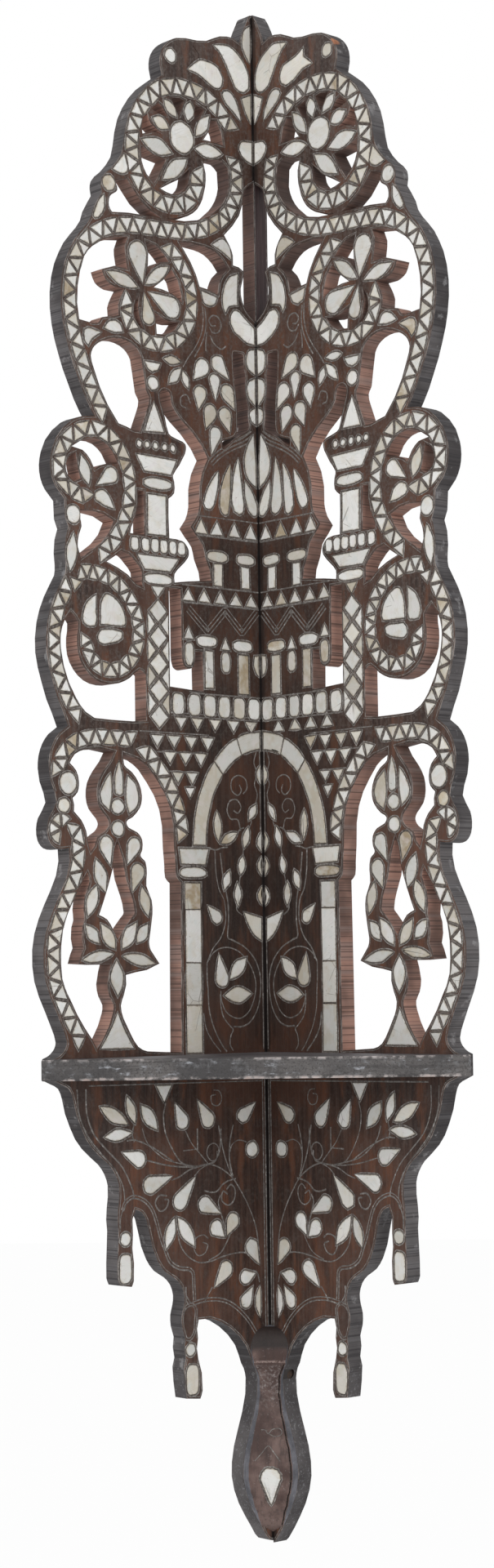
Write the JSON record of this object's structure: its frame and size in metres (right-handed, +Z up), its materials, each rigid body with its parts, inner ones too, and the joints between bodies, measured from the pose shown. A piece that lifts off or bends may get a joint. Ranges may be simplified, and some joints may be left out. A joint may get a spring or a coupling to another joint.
{
  "type": "turban stand",
  "caption": "Corner turban stand: two pierced walnut boards inlaid with mother-of-pearl, a triangular shelf between them and a drop finial below.",
  "frame": {"origin": "the inner corner where the two front faces meet, at the height of the shelf's top", "axes": "+Z up along the corner, +Y back into the corner of the room, +X to the viewer's right"},
  "size_m": [0.2744, 0.1501, 1.0072],
  "materials": {
    "inlaid_walnut": "dark worn walnut with filler lines and thin wire scrolls round the inlay",
    "shelf_walnut": "grey-brown worn walnut, rubbed pale along the arrises",
    "finial_walnut": "dark worn walnut with incised lines",
    "pearl": "polished mother-of-pearl, creamy to grey, with a faint play of colour",
    "iron": "dull forged iron"
  },
  "bodies": {
    "root": {"left_board": "inlaid_walnut", "right_board": "inlaid_walnut", "shelf": "shelf_walnut", "finial_block": "finial_walnut", "finial_drop": "pearl", "corner_nails": "iron", "shelf_nails": "iron", "block_nails": "iron", "tail_nail": "iron", "left_crest_petals": "pearl", "right_crest_petals": "pearl", "left_rosette": "pearl", "right_rosette": "pearl", "left_rosette_ribbon": "pearl", "right_rosette_ribbon": "pearl", "left_shoulder_ribbon": "pearl", "right_shoulder_ribbon": "pearl", "left_flower": "pearl", "right_flower": "pearl", "left_flower_ribbon": "pearl", "right_flower_ribbon": "pearl", "left_corner_emblem": "pearl", "right_corner_emblem": "pearl", "left_grapes": "pearl", "right_grapes": "pearl", "left_dome": "pearl", "right_dome": "pearl", "left_bands": "pearl", "right_bands": "pearl", "left_gallery_columns": "pearl", "right_gallery_columns": "pearl", "left_balustrade": "pearl", "right_balustrade": "pearl", "left_minaret": "pearl", "right_minaret": "pearl", "left_lattice": "pearl", "right_lattice": "pearl", "left_leaf_scroll": "pearl", "right_leaf_scroll": "pearl", "left_disc_scroll": "pearl", "right_disc_scroll": "pearl", "left_side_ribbon": "pearl", "right_side_ribbon": "pearl", "left_arm_ribbon": "pearl", "right_arm_ribbon": "pearl", "left_leg_ribbon": "pearl", "right_leg_ribbon": "pearl", "left_arch_ribbon": "pearl", "right_arch_ribbon": "pearl", "left_arch": "pearl", "right_arch": "pearl", "left_lamp": "pearl", "right_lamp": "pearl", "left_niche_flowers": "pearl", "right_niche_flowers": "pearl", "left_bracket_leaves": "pearl", "right_bracket_leaves": "pearl", "left_tassels": "pearl", "right_tassels": "pearl"}
  },
  "joints": []
}
